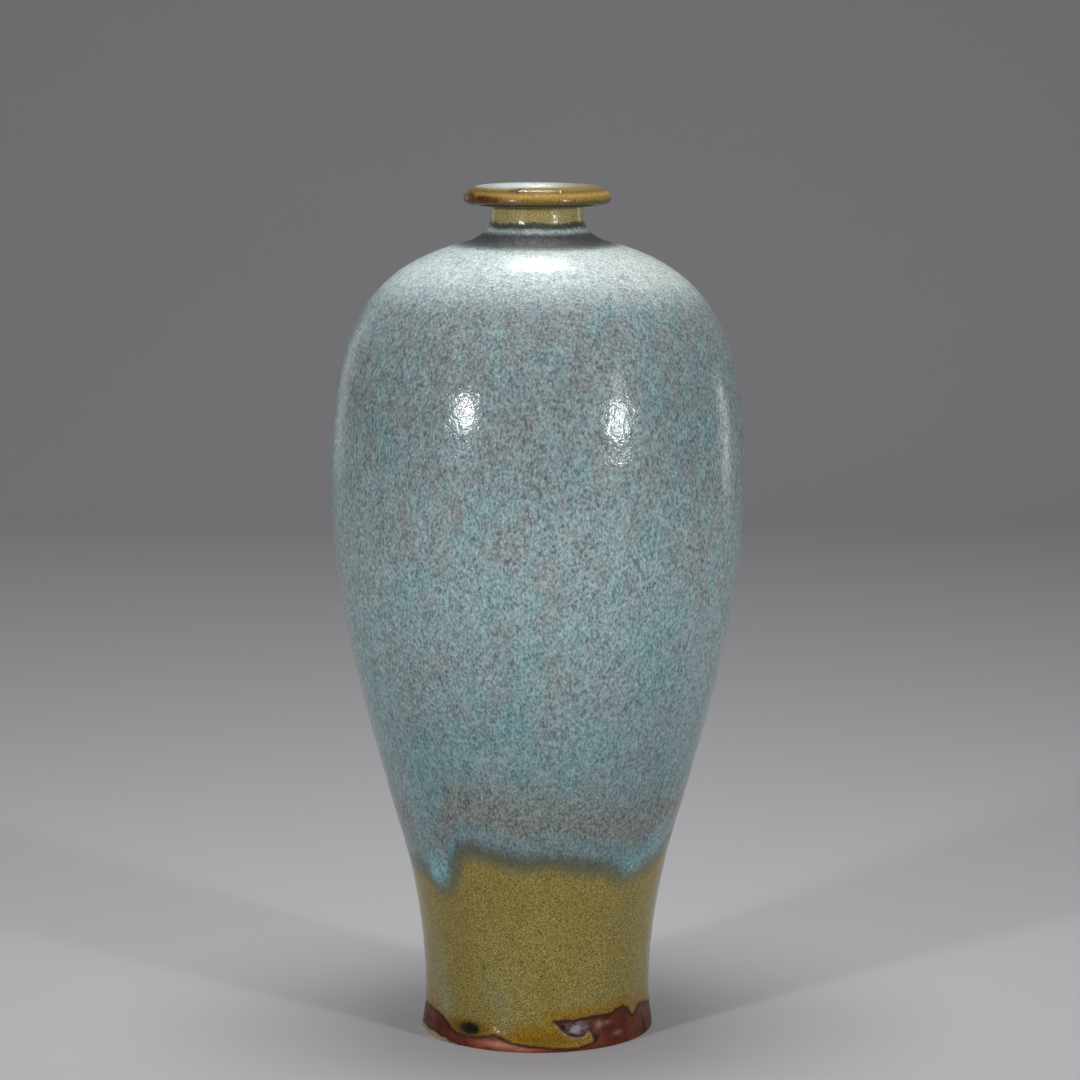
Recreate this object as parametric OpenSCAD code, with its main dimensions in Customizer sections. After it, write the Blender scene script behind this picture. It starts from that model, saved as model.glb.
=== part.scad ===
// Meiping vase: three thrown stoneware sections luted together with slip, under three glaze coats.
// Millimetres, +Z up. The origin is the middle of the foot, on the surface that the vase stands on.
// Bearings are in degrees, counted from the front (-Y) towards +X.

/* [Foot and floor] */
// Radius of the bare clay foot where it stands
foot_r = 41; // [36:0.5:46]
// Width of the ring that the vase stands on
foot_ring_w = 8; // [5:0.5:11]
// Round on both edges of the foot ring
foot_edge_r = 1; // [0.5:0.1:1.2]
// Depth of the recess turned under the base
recess_depth = 5; // [3:0.5:8]
// Round where the recess meets its ceiling
recess_round = 2; // [1:0.25:2.5]
// Thickness of the floor
floor_t = 7; // [5:0.5:10]
// Round inside, where the floor turns up into the wall
floor_round = 12; // [8:1:16]

/* [Outline of the clay] */
// Share of the foot's flare that leans out before the waist
foot_pull = 0.3; // [0.1:0.05:0.5]
// Height of the waist above the foot
waist_h = 15; // [12:0.5:22]
// Radius of the clay at the waist
waist_r = 39.4; // [35:0.1:44]
// Height from the waist up to the belly
flank_h = 186; // [150:1:225]
// Radius of the clay at the belly
belly_r = 71.5; // [60:0.5:84]
// Share of the flank's height over which the waist stays upright
flank_low_pull = 0.32; // [0.2:0.01:0.45]
// Share of the flank's height over which the belly stays upright
flank_high_pull = 0.42; // [0.3:0.01:0.5]
// Height from the belly up to the root of the neck
shoulder_h = 78; // [65:1:92]
// Share of the shoulder's height over which the belly stays upright
shoulder_low_pull = 0.68; // [0.55:0.01:0.75]
// Share of the shoulder's width that keeps the slope of the root
shoulder_high_pull = 0.66; // [0.5:0.01:0.75]
// Slope of the shoulder where it meets the root of the neck, in degrees
shoulder_slope = 14; // [10:0.5:20]

/* [Neck and lip] */
// Radius of the open mouth, inside the glaze
mouth_r = 11; // [9:0.5:13]
// Wall of the neck
neck_wall = 4; // [3:0.25:5]
// How far the root of the neck spreads outside the neck
root_spread = 8.9; // [7.5:0.1:11]
// Height over which the root sweeps up into the neck
root_rise = 10; // [8.5:0.5:11]
// Share of the root's spread that keeps the shoulder's slope
root_low_pull = 0.1; // [0.05:0.05:0.3]
// Share of the root's rise over which the neck stays upright
root_high_pull = 0.75; // [0.5:0.05:0.8]
// Height from the root up to the underside of the lip
neck_h = 15; // [12.5:0.5:19]
// Round under the lip, over the glaze
lip_fillet = 0.6; // [0.4:0.1:1]
// How far the clay lip overhangs the neck
lip_overhang = 9.6; // [7.5:0.1:12]
// Thickness of the clay lip
lip_t = 5.4; // [4.4:0.1:7]
// Height of the lip's widest line above its underside
lip_edge_h = 1.6; // [1.2:0.1:2]
// Width of the round on the lip's lower edge
lip_corner_w = 2.2; // [1.2:0.1:3]
// How far the crest of the lip stands outside the neck
crest_out = 3.4; // [2.5:0.1:4.5]
// Depth of the mouth's flare below the crest
mouth_depth = 6; // [5:0.5:7]
// Length of the straight throat below the flare
throat_h = 10; // [8:0.5:11.5]
// Share of the way in under the shoulder that keeps its slope
throat_low_pull = 0.45; // [0.3:0.05:0.6]
// Share of the way up from the shoulder over which the throat stays upright
throat_high_pull = 0.55; // [0.4:0.05:0.7]

/* [Walls] */
// Wall at the floor
wall_low = 7.5; // [6:0.25:9]
// Wall at the belly
wall_belly = 5; // [4:0.25:6.5]
// Wall at the root of the neck
wall_shoulder = 5; // [4:0.25:6]

/* [Luted seams] */
// Height of the seam between the lower and the upper body
seam_h = 150; // [120:1:180]
// Height of the tongue inside that seam
tongue_h = 5; // [3:0.5:8]
// Thickness of the slip in both seams
slip_t = 0.4; // [0.2:0.05:0.8]
// Height of the slip band smoothed over the body seam inside
band_h = 14; // [8:1:20]
// Thickness of that band at its middle
band_t = 0.8; // [0.4:0.1:1.5]
// How far the neck's flange reaches outside the neck
flange_w = 4.4; // [3.6:0.1:5.4]
// Width of the ledge that carries the flange
ledge_w = 3; // [2:0.1:3.4]

/* [Glaze coats] */
// Thickness of the olive coat
olive_t = 0.6; // [0.4:0.05:0.8]
// Thickness of the olive coat at its lower edge
olive_edge_t = 0.35; // [0.25:0.05:0.6]
// Height above the foot where the olive coat reaches its full thickness
olive_full_h = 26; // [20:1:40]
// Height of the olive coat's lower edge, between its runs
olive_edge_h = 9; // [8:0.5:14]
// Lowest point that the olive coat reaches
olive_lowest_h = 1.4; // [1.3:0.1:3]
// Thickness of the blue coat
blue_t = 0.8; // [0.5:0.05:1.1]
// Thickness of the blue coat at its edges
blue_edge_t = 0.3; // [0.2:0.05:0.5]
// Height of the blue coat's lower edge, between its runs
blue_edge_h = 67.5; // [60:0.5:85]
// Height over which the blue coat gains its full thickness
blue_taper_h = 20; // [10:1:30]
// How far the blue coat climbs above the root of the neck
blue_climb = 7; // [4:0.5:8]
// Thickness of the coat inside
lining_t = 0.6; // [0.3:0.05:0.9]

/* [Hidden] */
$fn = 120;

// Runs and gaps of the glaze edges: bearing, rise (a run drops), half width in degrees
olive_runs = [[-37, -5, 15], [-5, -6.5, 14], [19, -8, 14], [51, 3.5, 19], [57, -4, 4.5],
              [104, -3, 12], [133, 2.5, 14], [168, -4, 11], [-160, 2, 9], [-128, -4, 13], [-96, 1.5, 12]];
blue_runs = [[-55, -9, 24], [-44, -12, 6.5], [-34, 11, 13], [46, -7.5, 21],
             [92, 4, 10], [112, -9, 8], [146, -5, 16], [-176, 5, 12], [-148, -11, 9], [-112, 3, 12]];
// How steep the sides of the runs are: 2 is a bell, 4 a bell with a flat end
olive_steepness = 4;
blue_steepness = 2;
// Outline of the place where the olive coat crawled off the foot: bearing, height
bare_outline = [[8, 10.9], [12, 7.2], [17, 4.7], [23, 4.6], [27, 6.4], [31, 5.2], [38, 6], [38, 10],
                [30, 11.7], [20, 11]];
// Lines round a glaze edge
edge_steps = 120;

floor_z = recess_depth + floor_t;
throat_r = mouth_r + lining_t;
neck_r = throat_r + neck_wall;
root_r = neck_r + root_spread;
lip_r = neck_r + lip_overhang;
crest_r = neck_r + crest_out;
seat_r = neck_r + flange_w;
spigot_r = seat_r - ledge_w;
belly_z = waist_h + flank_h;
root_z = belly_z + shoulder_h;
lip_under_z = root_z + neck_h;
lip_edge_z = lip_under_z + lip_edge_h;
lip_top_z = lip_under_z + lip_t;
throat_top_z = lip_top_z - mouth_depth;
throat_low_z = throat_top_z - throat_h;
blue_top_z = root_z + blue_climb;

// Points of a cubic curve from a to d with the handles b and c, without its end
function curve(a, b, c, d, n) = [for (i = [0:n - 1]) let (t = i / n)
    pow(1 - t, 3) * a + 3 * t * pow(1 - t, 2) * b + 3 * t * t * (1 - t) * c + pow(t, 3) * d];

// Points of an elliptical arc with half widths w, with or without its first point
function arc(centre, w, from, to, n, first = 0) = [for (i = [first:n]) let (a = from + (to - from) * i / n)
    centre + [w.x * cos(a), w.y * sin(a)]];

function reversed(line) = [for (i = [len(line) - 1:-1:0]) line[i]];

// Direction square to a stretch of line, to its right
function right_of(a, b) = let (d = b - a) [d.y, -d.x] / norm(d);

// The line moved to its right by one distance per point, with mitred corners
function beside(line, t) = let (last = len(line) - 1) [for (i = [0:last]) let (
    after = right_of(line[min(i, last - 1)], line[min(i + 1, last)]),
    before = i > 0 ? right_of(line[i - 1], line[i]) : after,
    mitre = before + after)
    line[i] + 2 * t[i] * mitre / (mitre * mitre)];

// Point of a rising line at a height, and of a narrowing line at a radius
function at_height(line, z) = [lookup(z, [for (p = line) [p.y, p.x]]), z];
function at_radius(line, r) = [r, lookup(r, [for (p = line) [p.x, p.y]])];

// Part of a rising line between two heights
function between(line, low, high) = concat(
    [at_height(line, low)],
    [for (p = line) if (p.y > low && p.y < high) p],
    [at_height(line, high)]);

// Outline of the clay outside, from the foot up to the lip
foot_top = [foot_r, foot_edge_r];
waist = [waist_r, waist_h];
belly = [belly_r, belly_z];
root = [root_r, root_z];
neck_low = [neck_r, root_z + root_rise];
slope = [cos(shoulder_slope), -sin(shoulder_slope)];
half_waist_h = (waist_h - foot_edge_r) / 2;
root_line = concat(
    curve(root, root - root_low_pull * root_spread * slope,
          neck_low - [0, root_high_pull * root_rise], neck_low, 10),
    [neck_low]);
body_line = concat(
    curve(foot_top, foot_top + [foot_pull * (waist_r - foot_r), half_waist_h],
          waist - [0, half_waist_h], waist, 5),
    curve(waist, waist + [0, flank_low_pull * flank_h], belly - [0, flank_high_pull * flank_h], belly, 20),
    curve(belly, belly + [0, shoulder_low_pull * shoulder_h],
          root + shoulder_high_pull * (belly_r - root_r) * slope, root, 28),
    root_line);

// Outline of the clay over the lip and down into the throat
under_lip_r = lip_fillet + olive_t;
lip_line = concat(
    arc([neck_r + under_lip_r, lip_under_z - under_lip_r], [under_lip_r, under_lip_r], 180, 90, 4),
    arc([lip_r - lip_corner_w, lip_edge_z], [lip_corner_w, lip_edge_h], -90, 0, 6),
    arc([crest_r, lip_edge_z], [lip_r - crest_r, lip_top_z - lip_edge_z], 0, 90, 12, 1),
    arc([crest_r, throat_top_z], [crest_r - throat_r, mouth_depth], 90, 180, 10, 1));

// Outline of the clay inside, from the floor up the wall and through the throat
function wall_at(z) = lookup(z, [[0, wall_low], [belly_z, wall_belly], [root_z, wall_shoulder]]);
inner_root = root - wall_shoulder * [sin(shoulder_slope), cos(shoulder_slope)];
throat_low = [throat_r, throat_low_z];
inner_root_line = concat(
    curve(inner_root, inner_root - throat_low_pull * (inner_root.x - throat_r) * slope,
          throat_low - [0, throat_high_pull * (throat_low_z - inner_root.y)], throat_low, 8),
    [throat_low, [throat_r, throat_top_z]]);
outer_wall = [for (p = body_line) if (p.y < root_z) p];
inner_wall = beside(outer_wall, [for (p = outer_wall) -wall_at(p.y)]);
floor_turn = at_height(inner_wall, floor_z + floor_round);
inner_line = concat(
    arc([floor_turn.x - floor_round, floor_turn.y], [floor_round, floor_round], -90, 0, 8),
    [for (p = inner_wall) if (p.y > floor_turn.y) p],
    inner_root_line);

// The inner outline with the band of slip over the body seam
band_low_z = seam_h + tongue_h + slip_t / 2 - band_h / 2;
band_high_z = band_low_z + band_h;
band_foot = between(inner_line, band_low_z, band_high_z);
band_line = beside(band_foot, [for (p = band_foot) -band_t * sin(180 * (p.y - band_low_z) / band_h)]);
lined_line = concat(
    [for (p = inner_line) if (p.y < band_low_z) p],
    band_line,
    [for (p = inner_line) if (p.y > band_high_z) p]);
lining_line = beside(lined_line, [for (p = lined_line) -lining_t]);

// Outlines of the two coats outside
coated_line = concat(body_line, lip_line);
function olive_t_at(z) = lookup(z, [[0, olive_edge_t], [olive_full_h, olive_t]]);
olive_line = beside(coated_line, [for (p = coated_line) olive_t_at(p.y)]);
blue_lowest_z = min([for (i = [0:edge_steps - 1]) edge_at(i, blue_edge_h, blue_runs, blue_steepness)]);
function blue_t_at(z) = lookup(z, [[blue_lowest_z, blue_edge_t], [blue_lowest_z + blue_taper_h, blue_t],
                                   [root_z, blue_t], [blue_top_z, blue_edge_t]]);
blue_foot = between([for (i = [0:len(body_line) - 1]) olive_line[i]], blue_lowest_z - 1, blue_top_z);
blue_line = beside(blue_foot, [for (p = blue_foot) blue_t_at(p.y)]);

// Height of a glaze edge on one of the lines round it
function turn_between(a, b) = abs(((a - b) % 360 + 540) % 360 - 180);
function run(bearing, r, steepness) = r[1] * exp(-pow(turn_between(bearing, r[0]) / r[2], steepness));
function sum(list, i = 0) = i < len(list) ? list[i] + sum(list, i + 1) : 0;
function edge_at(i, base, runs, steepness) = let (bearing = 360 * i / edge_steps)
    base + sum([for (r = runs) run(bearing, r, steepness)]);
function facing(bearing) = [sin(bearing), -cos(bearing)];

// Places inside the two seams
seam_out = at_height(body_line, seam_h);
seam_mid_r = (at_height(body_line, seam_h).x + at_height(inner_line, seam_h).x) / 2;
tongue_z = seam_h + tongue_h;
seat_out = at_radius(root_line, seat_r);
slip_out = at_radius(root_line, seat_r + slip_t);
spigot_in = at_radius(inner_root_line, spigot_r);
slip_in = at_radius(inner_root_line, spigot_r + slip_t);
ledge_z = (seat_out.y + spigot_in.y) / 2;

// A closed ring that holds everything below a glaze edge
module below_edge(heights) {
    n = len(heights);
    inside_r = min(foot_r, waist_r) / 2;
    outside_r = belly_r + foot_ring_w;
    points = [for (i = [0:n - 1]) let (u = facing(360 * i / n)) each [
        [inside_r * u.x, inside_r * u.y, -1],
        [outside_r * u.x, outside_r * u.y, -1],
        [outside_r * u.x, outside_r * u.y, heights[i]],
        [inside_r * u.x, inside_r * u.y, heights[i]]]];
    faces = [for (i = [0:n - 1], k = [0:3]) let (
        a = 4 * i + k,
        b = 4 * i + (k + 1) % 4,
        c = 4 * ((i + 1) % n) + (k + 1) % 4,
        d = 4 * ((i + 1) % n) + k)
        each [[a, b, c], [a, c, d]]];
    polyhedron(points, faces);
}

// The place without olive glaze, as a block that points out past the foot
module bare_place() {
    middle = (min([for (p = bare_outline) p[0]]) + max([for (p = bare_outline) p[0]])) / 2;
    rotate([90, 0, middle])
        linear_extrude(height = 1.1 * foot_r)
            polygon([for (p = bare_outline) [foot_r * sin(p[0] - middle), p[1]]]);
}

module lower_body() {
    ring_in_r = foot_r - foot_ring_w;
    color("sienna")
        rotate_extrude()
            polygon(concat(
                [[0, floor_z], [0, recess_depth]],
                arc([ring_in_r - recess_round, recess_depth - recess_round],
                    [recess_round, recess_round], 90, 0, 4),
                arc([ring_in_r + foot_edge_r, foot_edge_r], [foot_edge_r, foot_edge_r], 180, 270, 4),
                arc([foot_r - foot_edge_r, foot_edge_r], [foot_edge_r, foot_edge_r], -90, 0, 4),
                [for (p = body_line) if (p.y > foot_edge_r && p.y < seam_h) p],
                [seam_out, [seam_mid_r, seam_h], [seam_mid_r, tongue_z]],
                [at_height(inner_line, tongue_z)],
                reversed([for (p = inner_line) if (p.y < tongue_z) p])));
}

module upper_body() {
    slip_z = seam_h + slip_t;
    color("peru")
        rotate_extrude()
            polygon(concat(
                between(body_line, slip_z, slip_out.y),
                [[slip_out.x, ledge_z - slip_t], [slip_in.x, ledge_z - slip_t]],
                reversed(between(inner_line, tongue_z + slip_t, slip_in.y)),
                [[seam_mid_r + slip_t, tongue_z + slip_t], [seam_mid_r + slip_t, slip_z]]));
}

module neck_and_lip() {
    color("burlywood")
        rotate_extrude()
            polygon(concat(
                [seat_out],
                [for (p = root_line) if (p.y > seat_out.y) p],
                lip_line,
                reversed([for (p = inner_root_line) if (p.y > spigot_in.y && p.y < throat_top_z) p]),
                [spigot_in, [spigot_r, ledge_z], [seat_r, ledge_z]]));
}

module body_seam_slip() {
    slip_z = seam_h + slip_t;
    color("saddlebrown")
        rotate_extrude()
            polygon(concat(
                between(body_line, seam_h, slip_z),
                [[seam_mid_r + slip_t, slip_z], [seam_mid_r + slip_t, tongue_z + slip_t]],
                between(inner_line, tongue_z + slip_t, band_high_z),
                [for (i = [len(band_line) - 2:-1:1]) band_line[i]],
                between(inner_line, band_low_z, tongue_z),
                [[seam_mid_r, tongue_z], [seam_mid_r, seam_h]]));
}

module neck_seam_slip() {
    color("saddlebrown")
        rotate_extrude()
            polygon(concat(
                [slip_out],
                [for (p = root_line) if (p.y > slip_out.y && p.y < seat_out.y) p],
                [seat_out, [seat_r, ledge_z], [spigot_r, ledge_z], spigot_in],
                reversed([for (p = inner_root_line) if (p.y > slip_in.y && p.y < spigot_in.y) p]),
                [slip_in, [slip_in.x, ledge_z - slip_t], [slip_out.x, ledge_z - slip_t]]));
}

module inner_glaze() {
    color("darkolivegreen")
        rotate_extrude()
            polygon(concat(
                [[0, floor_z]],
                lined_line,
                reversed(lining_line),
                [[0, floor_z + lining_t]]));
}

module olive_glaze() {
    edge = [for (i = [0:edge_steps - 1])
        max(olive_lowest_h, edge_at(i, olive_edge_h, olive_runs, olive_steepness))];
    color("darkkhaki")
        difference() {
            rotate_extrude()
                polygon(concat(coated_line, reversed(olive_line)));
            below_edge(edge);
            bare_place();
        }
}

module blue_glaze() {
    edge = [for (i = [0:edge_steps - 1]) edge_at(i, blue_edge_h, blue_runs, blue_steepness)];
    color("cadetblue")
        difference() {
            rotate_extrude()
                polygon(concat(blue_foot, reversed(blue_line)));
            below_edge(edge);
        }
}

lower_body();
upper_body();
neck_and_lip();
body_seam_slip();
neck_seam_slip();
inner_glaze();
olive_glaze();
blue_glaze();
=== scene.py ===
import math

import bpy
import numpy as np
from mathutils import Matrix


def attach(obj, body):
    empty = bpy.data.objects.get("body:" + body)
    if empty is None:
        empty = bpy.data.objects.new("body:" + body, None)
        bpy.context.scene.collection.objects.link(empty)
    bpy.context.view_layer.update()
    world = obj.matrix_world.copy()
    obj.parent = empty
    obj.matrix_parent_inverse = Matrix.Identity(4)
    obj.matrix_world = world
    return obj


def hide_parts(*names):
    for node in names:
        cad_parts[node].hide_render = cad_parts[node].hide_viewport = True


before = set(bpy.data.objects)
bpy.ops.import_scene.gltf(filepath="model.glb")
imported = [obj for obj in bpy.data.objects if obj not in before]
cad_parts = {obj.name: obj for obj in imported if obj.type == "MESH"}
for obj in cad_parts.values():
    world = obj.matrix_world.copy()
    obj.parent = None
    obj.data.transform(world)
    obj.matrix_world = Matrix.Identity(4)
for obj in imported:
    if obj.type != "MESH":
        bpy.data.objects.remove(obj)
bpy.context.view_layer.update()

# Measures of the clay in mm, as in part.scad
FOOT_R = 41
FOOT_EDGE_R = 1
FOOT_RING_W = 8
FOOT_PULL = 0.3
RECESS_H = 5
RECESS_ROUND = 2
FLOOR_Z = 12
FLOOR_ROUND = 12
WAIST_R = 39.4
WAIST_Z = 15
FLANK_LOW_PULL = 0.32
FLANK_HIGH_PULL = 0.42
BELLY_R = 71.5
BELLY_Z = 201
SHOULDER_LOW_PULL = 0.68
SHOULDER_HIGH_PULL = 0.66
SHOULDER_SLOPE = math.radians(14)
SLOPE = (math.cos(SHOULDER_SLOPE), -math.sin(SHOULDER_SLOPE))
ROOT_R = 24.5
ROOT_Z = 279
ROOT_LOW_PULL = 0.1
ROOT_HIGH_PULL = 0.75
NECK_R = 15.6
NECK_LOW_Z = 289
LIP_R = 25.2
LIP_UNDER_Z = 294
LIP_EDGE_Z = 295.6
LIP_TOP_Z = 299.4
LIP_CORNER_W = 2.2
LIP_FILLET_R = 1.2
CREST_R = 19
THROAT_R = 11.6
THROAT_TOP_Z = 293.4
THROAT_LOW_Z = 283.4
WALL_LOW = 7.5
WALL_BELLY = 5
SEAM_H = 150
TONGUE_H = 5

# Heights of the glaze edges in mm, and how steep the sides of the runs are. The blue coat's top is 0.9 mm
# higher than in part.scad and the olive coat's lowest place 0.3 mm lower; the others are the same.
BLUE_TOP_Z = 286.9
BLUE_EDGE_Z = 67.5
BLUE_STEEPNESS = 2
OLIVE_EDGE_Z = 9
OLIVE_LOWEST_Z = 1.1
OLIVE_STEEPNESS = 4
# Runs and gaps of the edges, as in part.scad: bearing, rise (a run drops), half width in degrees
OLIVE_RUNS = [(-37, -5, 15), (-5, -6.5, 14), (19, -8, 14), (51, 3.5, 19), (57, -4, 4.5), (104, -3, 12),
              (133, 2.5, 14), (168, -4, 11), (-160, 2, 9), (-128, -4, 13), (-96, 1.5, 12)]
BLUE_RUNS = [(-55, -9, 24), (-44, -12, 6.5), (-34, 11, 13), (46, -7.5, 21), (92, 4, 10), (112, -9, 8),
             (146, -5, 16), (-176, 5, 12), (-148, -11, 9), (-112, 3, 12)]
# The edges as they run across the front: bearing in degrees, height in mm. Places were read off the photo
# by eye, and another script turned most of them into these numbers.
OLIVE_FRONT = [(-90, 10.2), (-80, 9.8), (-71.8, 9.4), (-62, 9.2), (-55.5, 8.4), (-51.5, 7.0),
               (-47.7, 5.3), (-43.8, 4.3), (-37.8, 3.8), (-31.4, 4.1), (-26.4, 4.8), (-22.5, 5.4),
               (-18.7, 4.9), (-15, 3.7), (-11.4, 3.0), (-6.1, 2.6), (-0.8, 2.3), (5.3, 1.8), (8.8, 1.4),
               (14.1, 1.2), (19.6, 1.2), (23.4, 1.5), (25.9, 2.0), (28.6, 2.6), (29.4, 11.4),
               (35.3, 11.5), (41, 11.7), (43.5, 12.5), (48.8, 13.0), (52.5, 12.4), (53.3, 10.9),
               (55.2, 9.4), (57.9, 8.8), (60.6, 10.4), (62.8, 11.6), (68.6, 11.3), (78.5, 9.9),
               (90, 8.6)]
BLUE_FRONT = [(-90, 64), (-78.4, 62), (-70.6, 61.4), (-62.3, 61.2), (-58.5, 60.6), (-56, 59.2),
              (-54, 57.6), (-52, 56.4), (-49.4, 55.9), (-46.4, 56.2), (-43.6, 57.4), (-41.2, 59.6),
              (-38.8, 62.6), (-36.4, 66.0), (-34, 69.0), (-31.4, 71.2), (-28.6, 72.3), (-25.4, 72.2),
              (-22.4, 71.2), (-19.2, 69.9), (-15, 68.9), (-11.2, 68.4), (-5.2, 68.2), (0.8, 68.3),
              (6, 68.4), (11.3, 68.3), (16.7, 67.4), (22.5, 66.2), (27.8, 64.9), (33.6, 63.3),
              (39.8, 62.0), (46.4, 61.8), (51.5, 62.6), (56.8, 63.8), (62.3, 65.3), (69.5, 66.6),
              (90, 71)]
# Outlines of the place without glaze and of the remnant of glaze at the left: bearing, height. The upper
# side of the first came about in the same way.
BARE_PLACES = [(8.1, 11.0), (9.4, 10.3), (10.9, 9.3), (12.6, 8.0), (14.8, 6.7), (17.4, 5.8),
               (20.7, 5.5), (23.2, 5.7), (24.4, 6.5), (25.4, 7.2), (26.8, 7.0), (28.1, 6.1),
               (29.1, 4.9), (29.4, 3.6), (28.9, 2.4), (32, 2.0), (32, 11.2), (28.9, 11.4), (22.9, 11.3),
               (17.2, 10.9), (11.7, 11.0)]
REMNANT_PLACES = [(-99, 0.2), (-92, 1.7), (-83, 2.7), (-75, 2.6), (-67, 2.2), (-60, 2.3), (-53, 1.8),
                  (-48, 1.3), (-43, 0.7), (-39, 0.1), (-60, -0.6), (-80, -0.6)]


# Outlines
def curve(a, b, c, d, n):
    """Points of a cubic curve from a to d with the handles b and c, without its end."""
    t = np.linspace(0, 1, n, endpoint=False)[:, None]
    a, b, c, d = (np.array(p, float) for p in (a, b, c, d))
    return (1 - t) ** 3 * a + 3 * t * (1 - t) ** 2 * b + 3 * t * t * (1 - t) * c + t ** 3 * d


def arc(centre, w, start, end, n, first=0):
    """Points of an elliptical arc with half widths w, with or without its first point."""
    a = np.radians(start + (end - start) * np.arange(first, n + 1) / n)
    return np.array(centre, float) + np.stack([w[0] * np.cos(a), w[1] * np.sin(a)], 1)


def lean(point, along, by):
    """A point moved by a distance along a direction."""
    return (point[0] + along[0] * by, point[1] + along[1] * by)


CURVE_STEPS = 60
FOOT_TOP = (FOOT_R, FOOT_EDGE_R)
HALF_WAIST = (WAIST_Z - FOOT_EDGE_R) / 2
FLANK_H = BELLY_Z - WAIST_Z
SHOULDER_H = ROOT_Z - BELLY_Z
ROOT_RISE = NECK_LOW_Z - ROOT_Z
ROOT = (ROOT_R, ROOT_Z)
body_line = np.concatenate([
    curve(FOOT_TOP, (FOOT_R - FOOT_PULL * (FOOT_R - WAIST_R), FOOT_EDGE_R + HALF_WAIST),
          (WAIST_R, WAIST_Z - HALF_WAIST), (WAIST_R, WAIST_Z), CURVE_STEPS),
    curve((WAIST_R, WAIST_Z), (WAIST_R, WAIST_Z + FLANK_LOW_PULL * FLANK_H),
          (BELLY_R, BELLY_Z - FLANK_HIGH_PULL * FLANK_H), (BELLY_R, BELLY_Z), 4 * CURVE_STEPS),
    curve((BELLY_R, BELLY_Z), (BELLY_R, BELLY_Z + SHOULDER_LOW_PULL * SHOULDER_H),
          lean(ROOT, SLOPE, SHOULDER_HIGH_PULL * (BELLY_R - ROOT_R)), ROOT, 4 * CURVE_STEPS),
    curve(ROOT, lean(ROOT, SLOPE, -ROOT_LOW_PULL * (ROOT_R - NECK_R)),
          (NECK_R, NECK_LOW_Z - ROOT_HIGH_PULL * ROOT_RISE), (NECK_R, NECK_LOW_Z), CURVE_STEPS),
    [(NECK_R, NECK_LOW_Z)]])
lip_line = np.concatenate([
    arc((NECK_R + LIP_FILLET_R, LIP_UNDER_Z - LIP_FILLET_R), (LIP_FILLET_R, LIP_FILLET_R), 180, 90, 10),
    arc((LIP_R - LIP_CORNER_W, LIP_EDGE_Z), (LIP_CORNER_W, LIP_EDGE_Z - LIP_UNDER_Z), -90, 0, 16),
    arc((CREST_R, LIP_EDGE_Z), (LIP_R - CREST_R, LIP_TOP_Z - LIP_EDGE_Z), 0, 90, 36, 1),
    arc((CREST_R, THROAT_TOP_Z), (CREST_R - THROAT_R, LIP_TOP_Z - THROAT_TOP_Z), 90, 180, 30, 1)])
foot_round = arc((FOOT_R - FOOT_EDGE_R, FOOT_EDGE_R), (FOOT_EDGE_R, FOOT_EDGE_R), -45, 0, 12)
coated_line = np.concatenate([foot_round, body_line[1:], lip_line, [(THROAT_R, THROAT_LOW_Z)]])


def resample(line, spacing):
    """Points along a line, spacing(r, z) apart, with the square-on direction at each."""
    steps = np.hypot(*np.diff(line, axis=0).T)
    keep = np.concatenate([[True], steps > 1e-6])
    line = line[keep]
    s = np.concatenate([[0], np.cumsum(np.hypot(*np.diff(line, axis=0).T))])
    places = [0.0]
    while places[-1] < s[-1]:
        r, z = np.interp(places[-1], s, line[:, 0]), np.interp(places[-1], s, line[:, 1])
        places.append(places[-1] + spacing(r, z))
    places = np.array(places[:-1] + [s[-1]])
    if places[-1] - places[-2] < 0.05:
        places = np.delete(places, -2)
    r, z = np.interp(places, s, line[:, 0]), np.interp(places, s, line[:, 1])
    before, after = np.clip(places - 0.25, 0, s[-1]), np.clip(places + 0.25, 0, s[-1])
    dr = np.interp(after, s, line[:, 0]) - np.interp(before, s, line[:, 0])
    dz = np.interp(after, s, line[:, 1]) - np.interp(before, s, line[:, 1])
    size = np.hypot(dr, dz)
    return np.stack([r, z], 1), np.stack([dz / size, -dr / size], 1)


# The glaze edges
def smooth(low, high, x):
    """0 up to low and 1 from high on, with a soft passage between."""
    t = np.clip((x - low) / (high - low), 0, 1)
    return t * t * (3 - 2 * t)


def turn(a, b):
    """The angle in degrees between two bearings."""
    return np.abs((a - b + 180) % 360 - 180)


def edge(bearing, base, runs, steepness):
    """Height of a glaze edge with its runs and gaps."""
    return base + sum(r[1] * np.exp(-(turn(bearing, r[0]) / r[2]) ** steepness) for r in runs)


def wobble(bearing, seed, waves, size):
    """A smooth uneven line round the pot, the same on each run."""
    rng = np.random.default_rng(seed)
    total = np.zeros_like(bearing, dtype=float)
    for low, high, share in waves:
        for k in rng.integers(low, high, 7):
            total = total + share / 7 ** 0.5 * np.sin(np.radians(k * bearing) + rng.uniform(0, 2 * math.pi))
    return size * total


FRONT_ENDS = 72
BACK_STARTS = 92


def with_front(bearing, front, round_it):
    """The edge across the front, which passes into the runs that go on round the back."""
    b = (bearing + 180) % 360 - 180
    share = smooth(FRONT_ENDS, BACK_STARTS, np.abs(b))
    return (1 - share) * np.interp(b, *zip(*front)) + share * round_it


def olive_edge(bearing):
    """Height of the olive coat's lower edge."""
    uneven = wobble(bearing, seed=11, waves=[(12, 40, 1), (45, 110, 0.6)], size=0.2)
    round_it = edge(bearing, OLIVE_EDGE_Z, OLIVE_RUNS, OLIVE_STEEPNESS) + uneven
    return np.maximum(OLIVE_LOWEST_Z, with_front(bearing, OLIVE_FRONT, round_it) + uneven * 0.5)


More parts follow.
